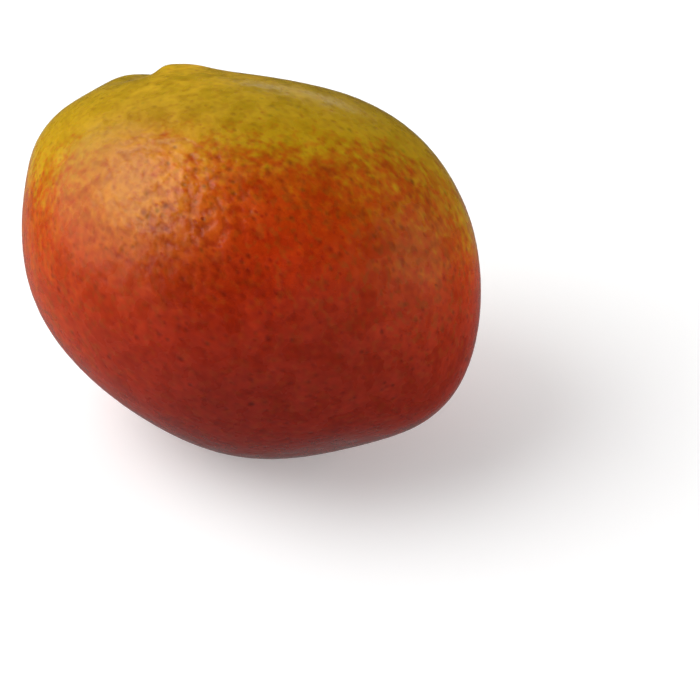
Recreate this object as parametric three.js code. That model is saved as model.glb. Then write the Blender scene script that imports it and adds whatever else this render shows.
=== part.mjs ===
// A ripe mango of the round, blushed kind, lying on its side on a level surface.
//
// The fruit grew as one piece, so it is one solid: a broad ellipsoid with the swellings and
// hollows of a real fruit, the pit with the scar of its stalk, and the small flat that it
// rests on. Millimetres, +Z up, origin under the middle of the fruit on the surface.
//
// A place on the skin is given by two angles in the fruit's own frame: its turn about the
// cheek-to-cheek axis, counted from the tip toward the back, and its lift toward the upper
// cheek. In that frame X runs to the tip, Y to the back, and Z to the upper cheek.

import * as THREE from 'three';
import { mergeVertices } from 'three/addons/utils/BufferGeometryUtils.js';

// Driving dimensions, in millimetres and degrees.

const HALF_LENGTH = 55.2; // broad end to tip
const HALF_WIDTH = 45.0; // belly to back
const HALF_THICKNESS = 41.9; // cheek to cheek
const WIDTH_TAPER = -0.019; // change of width toward the tip, as a share
const THICKNESS_TAPER = -0.061; // change of thickness toward the tip, as a share

const STEM = { turn: 133.5, lift: 8 };

// How far the skin stands out from the ellipsoid, round a direction, fading with the angle.
const SWELLINGS_AND_HOLLOWS = [
	{ name: 'stem hollow', ...STEM, spread: 6, height: -2.5 },
	{ name: 'stem pit', ...STEM, spread: 3.6, height: -1.2 },
	{ name: 'lip on the back', turn: 124.1, lift: 14.7, spread: 4.9, height: 1.5 },
	{ name: 'crest of the lip', turn: 129.5, lift: 14.4, spread: 2.6, height: 1.3 },
	{ name: 'lip on the shoulder', turn: 140.5, lift: 1.4, spread: 6, height: 2 },
	{ name: 'shoulder', turn: 167.5, lift: 0, spread: 13.5, height: 3.7 },
	{ name: 'broad end', turn: 196, lift: 0, spread: 20, height: -1.3 },
	{ name: 'belly', turn: 252, lift: 0, spread: 21, height: -2.1 },
	{ name: 'sinus', turn: 316, lift: 4, spread: 13, height: -2.2 },
	{ name: 'tip', turn: 344.5, lift: 0, spread: 17, height: 2.6 },
	{ name: 'back', turn: 60, lift: 0, spread: 24, height: 3.0 },
	{ name: 'back near the stem', turn: 106.5, lift: 0, spread: 16, height: -3.3 },
	{ name: 'lower cheek', turn: 0, lift: -90, spread: 40, height: 0.8 },
	{ name: 'lower cheek near the broad end', turn: 180, lift: -50, spread: 30, height: 0.6 },
];

const SCAR_RADIUS = 2.4; // the corky disc that the stalk left
const SCAR_HEIGHT = 0.9;
const SCAR_EDGE = 0.9; // width of its sloping edge

// How the fruit lies: the tip points right and to the front, dips, and the fruit is rolled
// back so that the upper cheek faces up and to the front.
const TIP_HEADING = -23;
const TIP_DIP = 11.3;
const ROLL = 47.3;

const REST_DEPTH = 1.8; // how much of the round underside the flat takes away
const REST_EDGE = 0.8; // height over which the flat turns into the round skin

const CELLS_ACROSS = 26; // cells along a side of the cube that the skin is spread from
const GATHER = 0.84; // how much closer the cells lie at the stem
const GATHER_SPREAD = 22; // angle over which they are drawn in

const degrees = THREE.MathUtils.degToRad;

// The unit direction of a place on the skin.
function direction({ turn, lift }) {
	return new THREE.Vector3(
		Math.cos(degrees(lift)) * Math.cos(degrees(turn)),
		Math.cos(degrees(lift)) * Math.sin(degrees(turn)),
		Math.sin(degrees(lift)),
	);
}

const stem = direction(STEM);

// Evenly spread directions, as a closed net of square cells: a cube blown up to a ball, with
// one face centred on the stem and its cells drawn in toward it.
function netOfDirections() {
	const box = new THREE.BoxGeometry(2, 2, 2, CELLS_ACROSS, CELLS_ACROSS, CELLS_ACROSS);
	box.deleteAttribute('normal');
	box.deleteAttribute('uv');
	const net = mergeVertices(box, 1e-4);
	const toStem = new THREE.Quaternion().setFromUnitVectors(new THREE.Vector3(0, 0, 1), stem);
	const even = (side) => Math.tan((side * Math.PI) / 4);
	const place = net.getAttribute('position');
	const point = new THREE.Vector3();
	const axis = new THREE.Vector3();
	for (let i = 0; i < place.count; i++) {
		point.set(even(place.getX(i)), even(place.getY(i)), even(place.getZ(i)));
		point.normalize().applyQuaternion(toStem);
		const angle = point.angleTo(stem);
		const drawnIn = angle * GATHER * Math.exp(-((angle / degrees(GATHER_SPREAD)) ** 2));
		axis.crossVectors(point, stem);
		if (axis.lengthSq() > 0) point.applyAxisAngle(axis.normalize(), drawnIn);
		place.setXYZ(i, point.x, point.y, point.z);
	}
	return net;
}

// The point of the fruit's skin in one direction, in the fruit's own frame.
function skinPoint(unit) {
	const point = new THREE.Vector3(
		HALF_LENGTH * unit.x,
		HALF_WIDTH * unit.y * (1 + WIDTH_TAPER * unit.x),
		HALF_THICKNESS * unit.z * (1 + THICKNESS_TAPER * unit.x),
	);
	let height = 0;
	for (const form of SWELLINGS_AND_HOLLOWS) {
		const closeness = unit.dot(direction(form)) - 1;
		height += form.height * Math.exp(closeness / degrees(form.spread) ** 2);
	}
	const reach = HALF_LENGTH * unit.angleTo(stem);
	const inner = SCAR_RADIUS - SCAR_EDGE / 2;
	height += SCAR_HEIGHT * (1 - THREE.MathUtils.smoothstep(reach, inner, inner + SCAR_EDGE));
	return point.addScaledVector(unit, height);
}

// Turns the skin flat where it would pass below the surface, with a soft edge.
function rested(z) {
	const height = z / REST_EDGE;
	if (height <= -1) return 0;
	if (height >= 1) return z;
	return (REST_EDGE * (height + 1) ** 2) / 4;
}

function fruitGeometry() {
	const geometry = netOfDirections();
	const place = geometry.getAttribute('position');
	const lie = new THREE.Euler(degrees(ROLL), degrees(TIP_DIP), degrees(TIP_HEADING), 'ZYX');
	const unit = new THREE.Vector3();
	for (let i = 0; i < place.count; i++) {
		const point = skinPoint(unit.fromBufferAttribute(place, i)).applyEuler(lie);
		place.setXYZ(i, point.x, point.y, point.z);
	}
	geometry.computeBoundingBox();
	const { min, max } = geometry.boundingBox;
	for (let i = 0; i < place.count; i++) {
		place.setX(i, place.getX(i) - (min.x + max.x) / 2);
		place.setY(i, place.getY(i) - (min.y + max.y) / 2);
		place.setZ(i, rested(place.getZ(i) - min.z - REST_DEPTH));
	}
	geometry.computeVertexNormals();
	return geometry;
}

const skin = new THREE.MeshStandardMaterial({ color: 0xb4552a, roughness: 0.45, metalness: 0 });

const mango = new THREE.Mesh(fruitGeometry(), skin);
mango.name = 'mango';

const part = new THREE.Group();
part.add(mango);

export default part;
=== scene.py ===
from math import cos, pi, radians, sin

import bmesh
import bpy
from mathutils import Euler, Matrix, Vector


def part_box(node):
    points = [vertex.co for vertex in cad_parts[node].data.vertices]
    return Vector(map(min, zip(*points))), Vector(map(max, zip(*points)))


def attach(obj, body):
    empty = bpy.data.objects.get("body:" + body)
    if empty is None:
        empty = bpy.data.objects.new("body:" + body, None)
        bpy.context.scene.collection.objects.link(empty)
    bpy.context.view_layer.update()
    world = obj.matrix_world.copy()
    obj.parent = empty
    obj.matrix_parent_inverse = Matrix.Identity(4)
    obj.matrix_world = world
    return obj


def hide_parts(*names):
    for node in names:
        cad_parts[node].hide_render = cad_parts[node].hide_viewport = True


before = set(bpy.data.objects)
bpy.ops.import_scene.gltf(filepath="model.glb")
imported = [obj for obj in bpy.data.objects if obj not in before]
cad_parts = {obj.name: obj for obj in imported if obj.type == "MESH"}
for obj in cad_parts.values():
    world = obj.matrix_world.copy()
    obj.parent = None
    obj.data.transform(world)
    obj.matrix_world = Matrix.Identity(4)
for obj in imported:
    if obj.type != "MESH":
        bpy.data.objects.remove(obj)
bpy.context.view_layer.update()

MM = 0.001


# ----------------------------------------------------------------------------------------
# The skin. A ripe mango of the round, blushed kind grows as one piece: a broad ellipsoid
# with a full shoulder, a blunt beak over a shallow sinus, and a hollow where the stalk was.
# Its thin waxy peel is pebbled and dotted with lenticels, and it lies on a small flat.
# ----------------------------------------------------------------------------------------

HALF_LENGTH = 55.2 * MM
HALF_WIDTH = 45.0 * MM
HALF_THICKNESS = 41.9 * MM
WIDTH_TAPER = -0.019
THICKNESS_TAPER = -0.061

STEM_TURN, STEM_LIFT = 133.5, 8.0

# Name, turn from the tip toward the back, lift toward the upper cheek, spread, height.
SWELLINGS_AND_HOLLOWS = (
    ("Stem hollow", STEM_TURN, STEM_LIFT, 6.0, -2.5 * MM),
    ("Stem pit", STEM_TURN, STEM_LIFT, 3.6, -1.2 * MM),
    ("Lip on the back", 124.1, 14.7, 4.9, 1.5 * MM),
    ("Crest of the lip", 129.5, 14.4, 2.6, 1.3 * MM),
    ("Lip on the shoulder", 140.5, 1.4, 6.0, 2.0 * MM),
    ("Shoulder", 167.5, 0.0, 13.5, 3.7 * MM),
    ("Broad end", 196.0, 0.0, 20.0, -1.3 * MM),
    ("Belly", 252.0, 0.0, 21.0, -2.1 * MM),
    ("Sinus", 316.0, 4.0, 13.0, -2.2 * MM),
    ("Tip", 344.5, 0.0, 17.0, 2.6 * MM),
    ("Back", 60.0, 0.0, 24.0, 3.0 * MM),
    ("Back near the stem", 106.5, 0.0, 16.0, -3.3 * MM),
    ("Lower cheek", 0.0, -90.0, 40.0, 0.8 * MM),
    ("Lower cheek near the broad end", 180.0, -50.0, 30.0, 0.6 * MM),
)

TIP_HEADING, TIP_DIP, ROLL = radians(-23.0), radians(11.3), radians(47.3)
LIE = Euler((ROLL, TIP_DIP, TIP_HEADING))

SKIN_SIZES = {
    "Half length": HALF_LENGTH,
    "Half width": HALF_WIDTH,
    "Half thickness": HALF_THICKNESS,
    "Width taper": WIDTH_TAPER,
    "Thickness taper": THICKNESS_TAPER,
    "Scar radius": 2.4 * MM,
    "Scar edge": 0.9 * MM,
    "Scar height": 0.9 * MM,
    "Rest depth": 1.8 * MM,
    "Rest edge": 0.8 * MM,
    "Undulation": 0.35 * MM,
    "Undulation size": 24 * MM,
    "Pebbling": 0.10 * MM,
    "Pebbling size": 2.6 * MM,
    **{name: height for name, _, _, _, height in SWELLINGS_AND_HOLLOWS},
}

# The skin is spread from the cells of a cube, which lie closer together round the stem.
CELLS_ACROSS = 128
GATHER, GATHER_SPREAD = 0.5, radians(22.0)

# The peel is pressed smooth where it touches, and has all its relief from a little above.
PRESSED_BELOW, FREE_ABOVE = 0.5 * MM, 6.0 * MM


class Wire:
    """A socket in a node tree. Arithmetic on it adds the Math or Vector Math nodes for it."""

    def __init__(self, tree, socket=None):
        self.tree = tree
        self.socket = socket

    def node(self, kind, settings=None, sockets=None, output=0):
        """Adds a node: first its settings, then the values or wires of its sockets."""
        made = self.tree.nodes.new(kind)
        for name, value in (settings or {}).items():
            if name == "stops":
                self.set_stops(made.color_ramp, value)
            else:
                setattr(made, name, value)
        for name, value in (sockets or {}).items():
            inlet = made.inputs[name]
            if isinstance(value, Wire):
                self.tree.links.new(value.socket, inlet)
            elif inlet.type == "RGBA" and len(value) == 3:
                inlet.default_value = (*value, 1.0)
            else:
                inlet.default_value = value
        return Wire(self.tree, made.outputs[output] if made.outputs else None)

    @staticmethod
    def set_stops(ramp, stops):
        while len(ramp.elements) < len(stops):
            ramp.elements.new(1.0)
        for element, (place, colour) in zip(ramp.elements, stops):
            element.position = place
            element.color = (*colour, 1.0)

    def maths(self, operation, *parts, output=0):
        """One operation on the parts in their order, on vectors where one of them is one."""
        is_vector = any(
            part.socket.type == "VECTOR" if isinstance(part, Wire) else hasattr(part, "__len__")
            for part in parts
        )
        if is_vector:
            parts = [(part,) * 3 if isinstance(part, (int, float)) else part for part in parts]
        kind = "ShaderNodeVectorMath" if is_vector else "ShaderNodeMath"
        return self.node(kind, {"operation": operation}, dict(enumerate(parts)), output)

    def __add__(self, other):
        return self.maths("ADD", self, other)

    def __radd__(self, other):
        return self.maths("ADD", other, self)

    def __sub__(self, other):
        return self.maths("SUBTRACT", self, other)

    def __rsub__(self, other):
        return self.maths("SUBTRACT", other, self)

    def __mul__(self, other):
        return self.maths("MULTIPLY", self, other)

    def __rmul__(self, other):
        return self.maths("MULTIPLY", other, self)

    def __truediv__(self, other):
        return self.maths("DIVIDE", self, other)

    def __rtruediv__(self, other):
        return self.maths("DIVIDE", other, self)

    def __pow__(self, other):
        return self.maths("POWER", self, other)

    def at_least(self, other):
        return self.maths("MAXIMUM", self, other)

    def at_most(self, other):
        return self.maths("MINIMUM", self, other)

    def exp(self):
        return self.maths("EXPONENT", self)

    def dot(self, other):
        return self.maths("DOT_PRODUCT", self, other, output=1)

    def unit(self):
        return self.maths("NORMALIZE", self)

    def split(self):
        parted = self.node("ShaderNodeSeparateXYZ", sockets={0: self}).socket.node
        return [Wire(self.tree, outlet) for outlet in parted.outputs]

    def turned(self, euler):
        return self.node(
            "ShaderNodeVectorRotate",
            {"rotation_type": "EULER_XYZ"},
            {"Vector": self, "Rotation": tuple(euler)},
        )

    def ramp(self, low, high, start=0.0, end=1.0):
        """Runs softly from start to end as this wire goes from low to high."""
        return self.node(
            "ShaderNodeMapRange",
            {"interpolation_type": "SMOOTHSTEP"},
            {"Value": self, 1: low, 2: high, 3: start, 4: end},
        )

    def clouds(self, size, detail):
        """Soft noise about 0.5 over this place, in clouds of one size."""
        return self.node(
            "ShaderNodeTexNoise",
            sockets={"Vector": self, "Scale": 1.0 / size, "Detail": detail},
        )

    def mix(self, other, share, blend="MIX"):
        """This colour with a share of another mixed in."""
        return self.node(
            "ShaderNodeMix",
            {"data_type": "RGBA", "blend_type": blend},
            {0: share, 6: self, 7: other},
            output=2,
        )


def join(x, y, z):
    return x.node("ShaderNodeCombineXYZ", sockets={0: x, 1: y, 2: z})


def direction(turn, lift):
    """The unit direction, in the fruit's own frame, of a place on the skin."""
    turn, lift = radians(turn), radians(lift)
    return Vector((cos(lift) * cos(turn), cos(lift) * sin(turn), sin(lift)))


def nearness(unit, turn, lift, spread):
    """One at a place on the skin, fading to nothing round it."""
    return ((unit.dot(direction(turn, lift)) - 1.0) / radians(spread) ** 2).exp()


def plain_mesh(piece):
    """Gives a piece the mesh that its modifiers make, and removes them."""
    depsgraph = bpy.context.evaluated_depsgraph_get()
    made = bpy.data.meshes.new_from_object(
        piece.evaluated_get(depsgraph), preserve_all_data_layers=True, depsgraph=depsgraph
    )
    piece.modifiers.clear()
    piece.data = made


skin_tree = bpy.data.node_groups.new("mango skin", "GeometryNodeTree")
skin_tree.interface.new_socket("Skin", in_out="OUTPUT", socket_type="NodeSocketGeometry")
skin_tree.interface.new_socket("Finish", in_out="INPUT", socket_type="NodeSocketMaterial")
skin_tree.interface.new_socket("Middle", in_out="INPUT", socket_type="NodeSocketVector")
for size_name in SKIN_SIZES:
    skin_tree.interface.new_socket(size_name, in_out="INPUT", socket_type="NodeSocketFloat")

tree = Wire(skin_tree)
given = {
    outlet.name: Wire(skin_tree, outlet)
    for outlet in tree.node("NodeGroupInput").socket.node.outputs
}
place = tree.node("GeometryNodeInputPosition")

# A closed net of square cells over all directions, with one side centred on the stem.
net = tree.node(
    "GeometryNodeMeshCube",
    sockets={
        "Size": (2.0, 2.0, 2.0),
        "Vertices X": CELLS_ACROSS + 1,
        "Vertices Y": CELLS_ACROSS + 1,
        "Vertices Z": CELLS_ACROSS + 1,
    },
)
stem = direction(STEM_TURN, STEM_LIFT)
to_stem = Vector((0.0, 0.0, 1.0)).rotation_difference(stem).to_euler()
even_sides = [tree.maths("TANGENT", side * (pi / 4)) for side in place.split()]
evenly = join(*even_sides).unit().turned(to_stem)
from_stem = tree.maths("ARCCOSINE", evenly.dot(stem).at_most(1.0))
drawn_in = tree.node(
    "ShaderNodeVectorRotate",
    {"rotation_type": "AXIS_ANGLE"},
    {
        "Vector": evenly,
        "Axis": tree.maths("CROSS_PRODUCT", evenly, stem),
        "Angle": from_stem * GATHER * (0.0 - (from_stem / GATHER_SPREAD) ** 2.0).exp(),
    },
)
net = tree.node(
    "GeometryNodeStoreNamedAttribute",
    {"data_type": "FLOAT_VECTOR"},
    {"Geometry": net, "Name": "direction", "Value": drawn_in},
)
unit = tree.node(
    "GeometryNodeInputNamedAttribute", {"data_type": "FLOAT_VECTOR"}, {"Name": "direction"}
)

# The ellipsoid, and on it each swelling and hollow and the low disc of the stalk's scar.
x, y, z = unit.split()
ellipsoid = join(
    x * given["Half length"],
    y * given["Half width"] * (1.0 + x * given["Width taper"]),
    z * given["Half thickness"] * (1.0 + x * given["Thickness taper"]),
)
from_scar = tree.maths("ARCCOSINE", unit.dot(stem).at_most(1.0)) * given["Half length"]
scar_inside = given["Scar radius"] - given["Scar edge"] / 2.0
height = given["Scar height"] * from_scar.ramp(
    scar_inside, scar_inside + given["Scar edge"], 1.0, 0.0
)
for form_name, form_turn, form_lift, form_spread, _ in SWELLINGS_AND_HOLLOWS:
    height = height + given[form_name] * nearness(unit, form_turn, form_lift, form_spread)
lying = tree.node(
    "GeometryNodeSetPosition",
    sockets={"Geometry": net, "Position": (ellipsoid + unit * height).turned(LIE)},
)

# Set down where it lies, with the flat pressed into its underside.
corners = tree.node("GeometryNodeBoundBox", sockets={"Geometry": lying}).socket.node
lowest = Wire(skin_tree, corners.outputs["Min"])
highest = Wire(skin_tree, corners.outputs["Max"])
x, y, _ = (place - (lowest + highest) / 2.0 + given["Middle"]).split()
above = place.split()[2] - lowest.split()[2] - given["Rest depth"]
in_edge = (above / given["Rest edge"]).at_most(1.0).at_least(-1.0)
rested = given["Rest edge"] * (in_edge + 1.0) ** 2.0 / 4.0
rested = rested + (above - given["Rest edge"]).at_least(0.0)
lying = tree.node(
    "GeometryNodeSetPosition",
    sockets={"Geometry": lying, "Position": join(x, y, rested)},
)

# The slow undulation and the pebbling of the peel, both sunk into the smooth form.
sunk = given["Undulation"] * place.clouds(given["Undulation size"], detail=1.0)
sunk = sunk + given["Pebbling"] * place.clouds(given["Pebbling size"], detail=1.0)
clear_of_rest = place.split()[2].ramp(PRESSED_BELOW, FREE_ABOVE)
outward = tree.node("GeometryNodeInputNormal")
peel = tree.node(
    "GeometryNodeSetPosition",
    sockets={"Geometry": lying, "Offset": outward * (0.0 - sunk * clear_of_rest)},
)
peel = tree.node("GeometryNodeSetShadeSmooth", sockets={"Geometry": peel})
peel = tree.node("GeometryNodeRealizeInstances", sockets={"Geometry": peel})
peel = tree.node(
    "GeometryNodeSetMaterial", sockets={"Geometry": peel, "Material": given["Finish"]}
)
tree.node("NodeGroupOutput", sockets={"Skin": peel})

# The peel's finish: yellow-green on the back and round the stem, blushed orange, red and
# maroon toward the belly, mottled where they meet, with dark lenticels and a satin wax.
GREEN_POLE = direction(115.0, -7.0)
BLUSH = (
    (0.00, (0.170, 0.006, 0.001)),
    (0.25, (0.270, 0.013, 0.001)),
    (0.42, (0.375, 0.023, 0.001)),
    (0.55, (0.435, 0.040, 0.001)),
    (0.63, (0.450, 0.080, 0.001)),
    (0.68, (0.450, 0.150, 0.001)),
    (0.74, (0.450, 0.250, 0.001)),
    (0.82, (0.420, 0.255, 0.001)),
    (1.00, (0.350, 0.235, 0.004)),
)
# Partly the peel's own paler tone and partly painted light on the brightly lit upper cheek.
PALE_SHOULDER_AND_PAINTED_LIGHT = (0.580, 0.205, 0.012)
GOLDEN = (0.640, 0.370, 0.006)
OLIVE = (0.230, 0.060, 0.004)
# Painted shade for the hollows of the pebbling.
PAINTED_SHADE_IN_HOLLOWS = (0.72, 0.57, 0.60)
SATIN, WAX_IOR = 0.28, 1.3

# Places on the peel: turn, lift and spread. The tables add how much greener, or with a minus sign
# redder, and how much lighter or darker the peel is there. The lighter and darker places are
# partly the peel's own tone and partly painted light and painted shade.
PALE_AND_PAINTED_LIGHT_PLACE = (160.0, 64.0, 12.5)
GOLDEN_PLACE = (120.0, 26.0, 17.0)
SMOOTH_PLACE = (165.0, 60.0, 18.0)
PITTED_PLACE = (118.0, 83.0, 12.0)
SHRUNKEN_PLACE = (132.0, 80.0, 18.0)
STYLE_TURN, STYLE_LIFT = 335.0, 1.0
GREENER = (
    (13.0, 38.0, 17.0, 0.12),
    (33.0, 5.0, 9.0, 0.10),
    (116.0, 75.0, 9.0, 0.05),
    (51.0, 33.0, 9.0, -0.05),
    (28.0, 36.0, 12.0, 0.04),
    (178.0, 48.0, 12.0, 0.05),
    (20.0, 87.0, 14.0, -0.07),
    (-127.0, 28.0, 20.0, 0.22),
)
TONE_AND_PAINTED_LIGHT_AND_SHADE = (
    (4.0, 75.0, 10.0, 0.20),
    (124.0, 70.0, 9.0, 0.20),
    (-86.0, 58.0, 8.0, 0.14),
    (25.0, 8.0, 8.0, 0.24),
    (8.0, 50.0, 10.0, -0.08),
    (55.0, 25.0, 8.0, -0.10),
    (-128.0, 40.0, 8.0, -0.08),
    (152.0, 47.0, 9.0, -0.08),
    (58.0, 55.0, 15.0, -0.09),
    (174.0, 61.0, 9.0, -0.08),
    (104.0, 48.0, 12.0, -0.13),
    (137.0, 43.0, 8.0, -0.10),
)

# The sizes of the peel's mottling and relief, and how deep the relief goes.
BROAD_SIZE, PATCH_SIZE, SPECKLE_SIZE, FRECKLE_SIZE = 17 * MM, 5 * MM, 1.5 * MM, 1.6 * MM
PEBBLE_SIZE, PEBBLE_DEPTH = 1.5 * MM, 0.18 * MM
SWELL_SIZE, SWELL_DEPTH = 4.0 * MM, 0.25 * MM
FLECK_DEPTH = 0.07 * MM
MEAN_RADIUS = 45 * MM

skin_look = bpy.data.materials.new("mango skin")
skin_look.use_nodes = True
skin_look.node_tree.nodes.clear()
tree = Wire(skin_look.node_tree)
place = tree.node("ShaderNodeTexCoord", output="Object")
unit = tree.node("ShaderNodeAttribute", {"attribute_name": "direction"}, output="Vector").unit()

# The mottling runs out from the stem: this place is drawn out along the way from it.
toward_stem = unit.dot(stem)
angle_from_stem = tree.maths("ARCCOSINE", toward_stem.at_most(1.0))
grain = unit * MEAN_RADIUS - toward_stem * (stem * MEAN_RADIUS)
grain = grain + (angle_from_stem * 0.8) * (stem * MEAN_RADIUS)

broad = place.clouds(BROAD_SIZE, detail=1.0) - 0.5
patches = place.clouds(PATCH_SIZE, detail=2.0) - 0.5
speckle = (grain + Vector((0.0, 0.0, 0.1))).clouds(SPECKLE_SIZE, detail=1.0) - 0.5
greenness = unit.dot(GREEN_POLE) * 0.5 + 0.5
for turn, lift, spread, share in GREENER:
    greenness = greenness + nearness(unit, turn, lift, spread) * share
greenness = greenness + broad * 0.07 + patches * 0.12 + speckle * 0.20
colour = tree.node("ShaderNodeValToRGB", {"stops": BLUSH}, {0: greenness})
# The pale shoulder is partly the peel's own paler tone and partly painted light where the soft
# boxes' highlight falls.
pale = nearness(unit, *PALE_AND_PAINTED_LIGHT_PLACE) * (0.95 + patches * 1.2 + speckle * 1.6)
colour = colour.mix(PALE_SHOULDER_AND_PAINTED_LIGHT, pale.at_least(0.0).at_most(1.0))
golden = nearness(unit, *GOLDEN_PLACE) * (0.5 + patches * 2.0) * greenness.ramp(0.66, 0.76)
colour = colour.mix(GOLDEN, golden.at_least(0.0).at_most(1.0))
freckles = (grain + Vector((0.1, 0.0, 0.0))).clouds(FRECKLE_SIZE, detail=1.0).ramp(0.50, 0.68)
freckles = freckles * greenness.ramp(0.70, 0.58) * greenness.ramp(0.20, 0.50, 0.3, 1.0)
smoother = nearness(unit, *SMOOTH_PLACE)
colour = colour.mix(OLIVE, freckles * (0.42 - smoother * 0.36))

# Lenticels: small soft flecks that darken the peel to brown, and fewer and larger ones. Each
# kind has its spacing and radius in millimetres, its strength, and its tint of the peel.
FLECKS = (
    (1.8, 0.80, 0.90, (0.56, 0.66, 0.85)),
    (1.3, 0.60, 0.75, (0.74, 0.44, 0.60)),
    (3.2, 1.00, 0.85, (0.48, 0.38, 0.55)),
)
pitted = nearness(unit, *PITTED_PLACE)
flecked = 0.8 + pitted * 1.1 + patches * 2.0 - smoother * 0.6
dark = 0.0
for spacing, radius, share, fleck_colour in FLECKS:
    cells = tree.node(
        "ShaderNodeTexVoronoi",
        {"feature": "F1"},
        {"Vector": grain, "Scale": 1.0 / (spacing * MM), "Randomness": 1.0},
    ).socket.node
    distance = Wire(tree.tree, cells.outputs["Distance"]) * (spacing * MM)
    chance = Wire(tree.tree, cells.outputs["Color"]).split()[0]
    fleck = distance.ramp(0.0, radius * MM, 1.0, 0.0) * chance.ramp(0.2, 1.0)
    fleck = (fleck * flecked * share).at_least(0.0).at_most(1.0)
    colour = colour.mix(fleck_colour, fleck, "MULTIPLY")
    dark = fleck + dark

# The peel is a little shrunk and pebbled, most on the upper cheek toward the stem.
shrunk = 0.28 + nearness(unit, *SHRUNKEN_PLACE) * 1.9
pebbles = grain.clouds(PEBBLE_SIZE, detail=0.5)
swells = place.clouds(SWELL_SIZE, detail=0.0)
relief = shrunk * (pebbles * PEBBLE_DEPTH + swells * SWELL_DEPTH) - dark * FLECK_DEPTH
bumped = tree.node(
    "ShaderNodeBump", sockets={"Strength": 1.0, "Distance": 1.0, "Height": relief}
)
# The hollows of the pebbling are darkened and reddened: painted shade.
painted_shade_in_hollows = pebbles.ramp(0.58, 0.28) * (0.4 + pitted * 0.6)
colour = colour.mix(PAINTED_SHADE_IN_HOLLOWS, painted_shade_in_hollows, "MULTIPLY")
# The peel is lighter and darker in soft patches of its own tone, and at the listed places partly
# painted light and painted shade.
shade = 0.97 + patches * 0.45 + broad * 0.2
for turn, lift, spread, share in TONE_AND_PAINTED_LIGHT_AND_SHADE:
    shade = shade + nearness(unit, turn, lift, spread) * share
colour = colour.mix(join(shade, shade, shade), 1.0, "MULTIPLY")

# The scar of the stalk is dry cork with a dark rim, in a little russet, and the place of
# the style, by the tip, is a dark speck.
CORK = (0.250, 0.150, 0.070)
CORK_EDGE = (0.060, 0.030, 0.012)
RUSSET = (0.300, 0.170, 0.050)
CORK_GRAIN = 0.5 * MM

# How far from the middle of the scar or of the style each of them begins to end, and ends.
CORK_REACH = 2.1 * MM, 2.5 * MM
RUSSET_REACH = 2.0 * MM, 8.0 * MM
RIM_INSIDE, RIM_OUTSIDE = (1.9 * MM, 2.4 * MM), (2.5 * MM, 3.2 * MM)
STYLE_REACH = 0.5 * MM, 1.3 * MM

from_scar = angle_from_stem * HALF_LENGTH
russet = from_scar.ramp(*RUSSET_REACH, 1.0, 0.0) * (speckle * 3.0 + patches * 3.0 + 0.45)
colour = colour.mix(RUSSET, russet.at_least(0.0).at_most(0.8))
cork_grain = place.clouds(CORK_GRAIN, detail=3.0)
corky = from_scar.ramp(*CORK_REACH, 1.0, 0.0)
colour = colour.mix(CORK, corky)
colour = colour.mix(CORK_EDGE, corky * cork_grain.ramp(0.45, 0.70))
rim = from_scar.ramp(*RIM_INSIDE) * from_scar.ramp(*RIM_OUTSIDE, 1.0, 0.0)
style_cosine = unit.dot(direction(STYLE_TURN, STYLE_LIFT)).at_most(1.0)
from_style = tree.maths("ARCCOSINE", style_cosine) * HALF_LENGTH
speck = from_style.ramp(*STYLE_REACH, 1.0, 0.0)
colour = colour.mix(CORK_EDGE, (rim * 0.8 + speck * 0.9).at_most(1.0))

peel_shader = tree.node(
    "ShaderNodeBsdfPrincipled",
    sockets={
        "Base Color": colour,
        "Roughness": SATIN + patches * 0.3 + corky * 0.4,
        "IOR": WAX_IOR,
        "Normal": bumped,
    },
)
tree.node("ShaderNodeOutputMaterial", sockets={"Surface": peel_shader})

skin = bpy.data.objects.new("skin", bpy.data.meshes.new("skin"))
bpy.context.scene.collection.objects.link(skin)
made_by = skin.modifiers.new("skin", "NODES")
made_by.node_group = skin_tree
skin_low, skin_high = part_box("mango")
skin_inputs = {"Finish": skin_look, "Middle": (skin_low + skin_high) / 2, **SKIN_SIZES}
for item in skin_tree.interface.items_tree:
    if item.in_out == "INPUT":
        made_by[item.identifier] = skin_inputs[item.name]
plain_mesh(skin)

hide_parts("mango")
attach(skin, "root")


# ----------------------------------------------------------------------------------------
# The floor: a plain pale surface that the fruit lies on. It glows more away from the fruit,
# painted light like that of a sweep with lamps of its own.
# ----------------------------------------------------------------------------------------

FLOOR_HALF = 4.0
PALE = (0.82, 0.82, 0.82)
SWEEP_NEAR, SWEEP_FAR = 0.4, 1.4
GLOW_NEAR, GLOW_FAR = 0.25, 0.95

floor_look = bpy.data.materials.new("pale floor")
floor_look.use_nodes = True
floor_look.node_tree.nodes.clear()
tree = Wire(floor_look.node_tree)
floor_place = tree.node("ShaderNodeTexCoord", output="Object")
from_middle = tree.maths("LENGTH", floor_place, output=1)
sweep = from_middle.ramp(SWEEP_NEAR, SWEEP_FAR, GLOW_NEAR, GLOW_FAR)
floor_shader = tree.node(
    "ShaderNodeBsdfPrincipled",
    sockets={
        "Base Color": PALE,
        "Roughness": 0.8,
        "Emission Color": join(sweep, sweep, sweep),
        "Emission Strength": 1.0,
    },
)
tree.node("ShaderNodeOutputMaterial", sockets={"Surface": floor_shader})

floor_shape = bmesh.new()
bmesh.ops.create_grid(floor_shape, x_segments=1, y_segments=1, size=FLOOR_HALF)
floor_mesh = bpy.data.meshes.new("floor")
floor_shape.to_mesh(floor_mesh)
floor_shape.free()
floor_mesh.materials.append(floor_look)
floor = bpy.data.objects.new("floor", floor_mesh)
bpy.context.scene.collection.objects.link(floor)
floor.visible_glossy = False


# ----------------------------------------------------------------------------------------
# The light: two large soft boxes at the left, a weak one at the right and a low strip
# behind, in a studio that fills the shade from all round and whose pale table shows in the
# lower part of the gloss.
# ----------------------------------------------------------------------------------------

LIT_PLACE = (skin_low + skin_high) / 2

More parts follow.
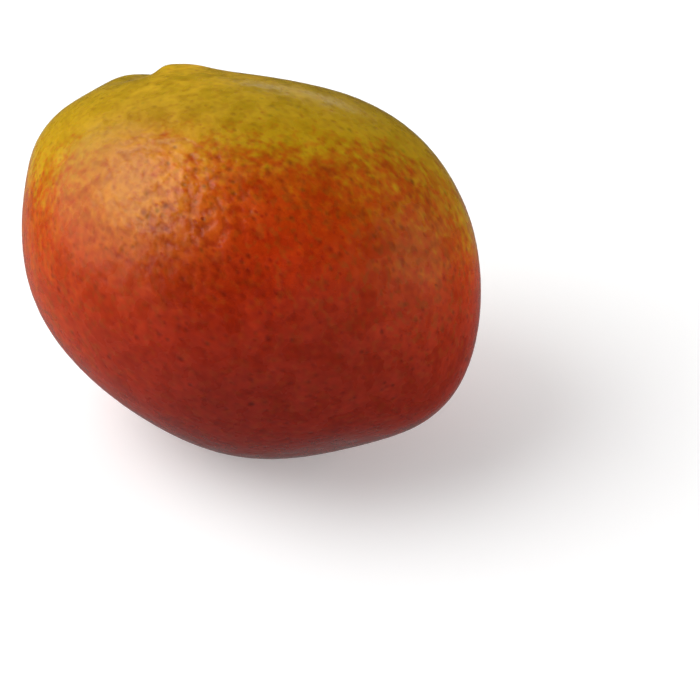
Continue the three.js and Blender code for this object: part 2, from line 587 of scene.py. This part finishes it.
# Azimuth and elevation of each fill, the cosine at its edge, and its brightness.
FILLS = (
    (-120, 50, 0.70, 1.12),
    (-72, 0, 0.70, 1.48),
    (30, 0, 0.70, 1.08),
    (90, 0, 0.70, 1.25),
    (150, 50, 0.70, 0.30),
    (175, 15, 0.70, 0.65),
    (-138, 8, 0.70, 0.85),
)
TABLE_EDGE, TABLE_INSIDE, TABLE_GLOW = -0.34, -0.42, 0.24
WALL_GLOW = 0.05
DIM, BACKDROP = 0.04, 0.9


def toward(azimuth, elevation):
    """The direction at an azimuth, from the front and positive to the right, and a height."""
    azimuth, elevation = radians(azimuth), radians(elevation)
    return Vector((sin(azimuth) * cos(elevation), -cos(azimuth) * cos(elevation), sin(elevation)))


def soft_light(name, azimuth, elevation, distance, width, height, power, glossy=True):
    """Hangs a round-edged soft box that faces the fruit, sized in metres."""
    lamp = bpy.data.lights.new(name, "AREA")
    lamp.shape = "ELLIPSE"
    lamp.size, lamp.size_y = width, height
    lamp.energy = power
    hung = bpy.data.objects.new(name, lamp)
    away = toward(azimuth, elevation)
    hung.location = LIT_PLACE + away * distance
    hung.rotation_euler = away.to_track_quat("Z", "Y").to_euler()
    hung.visible_glossy = glossy
    bpy.context.scene.collection.objects.link(hung)


soft_light("key", -80, 52, 0.9, 0.86, 0.68, 3.9)
soft_light("wide soft box", -90, 29, 0.9, 1.45, 1.02, 4.7)
soft_light("soft box on the right", 80, 20, 1.1, 0.9, 0.7, 3.0, glossy=False)
soft_light("strip behind", 169, 14, 0.9, 0.36, 0.16, 0.20)

studio = bpy.data.worlds.new("studio")
bpy.context.scene.world = studio
studio.use_nodes = True
studio.node_tree.nodes.clear()
tree = Wire(studio.node_tree)
way = tree.node("ShaderNodeTexCoord", output="Generated")
glow = way.split()[2].ramp(TABLE_EDGE, TABLE_INSIDE, 0.0, TABLE_GLOW)
glow = glow * way.dot(toward(-120, 0)).ramp(-1.0, 0.6, 0.2, 1.0)
glow = glow + way.dot(toward(-75, 0)).ramp(0.6, 0.95, 0.0, WALL_GLOW)
fill = 0.0
for azimuth, elevation, edge, brightness in FILLS:
    fill = way.dot(toward(azimuth, elevation)).ramp(edge, 1.0, 0.0, brightness) + fill
rays = tree.node("ShaderNodeLightPath").socket.node.outputs
strength = DIM + Wire(tree.tree, rays["Is Glossy Ray"]) * glow
strength = strength + Wire(tree.tree, rays["Is Diffuse Ray"]) * fill
strength = strength + Wire(tree.tree, rays["Is Camera Ray"]) * BACKDROP
around = tree.node(
    "ShaderNodeBackground", sockets={"Color": (1.0, 1.0, 1.0), "Strength": strength}
)
tree.node("ShaderNodeOutputWorld", sockets={"Surface": around})


# ----------------------------------------------------------------------------------------
# The camera, from the front and above, with the fruit up and left of the middle.
# ----------------------------------------------------------------------------------------

CAMERA_RISE = radians(38.0)
CAMERA_DISTANCE = 0.7
CAMERA_AIM = Vector((23.1, -13.5, 26.4)) * MM
SENSOR = 36.0
LENS = 154.8

back_from_aim = Vector((0.0, -cos(CAMERA_RISE), sin(CAMERA_RISE)))
lens = bpy.data.cameras.new("camera")
lens.sensor_width = SENSOR
lens.lens = LENS
lens.clip_start, lens.clip_end = 0.01, 50.0
camera = bpy.data.objects.new("camera", lens)
camera.location = CAMERA_AIM + back_from_aim * CAMERA_DISTANCE
camera.rotation_euler = (pi / 2 - CAMERA_RISE, 0.0, 0.0)
bpy.context.scene.collection.objects.link(camera)
bpy.context.scene.camera = camera
bpy.context.scene.view_settings.view_transform = "Standard"
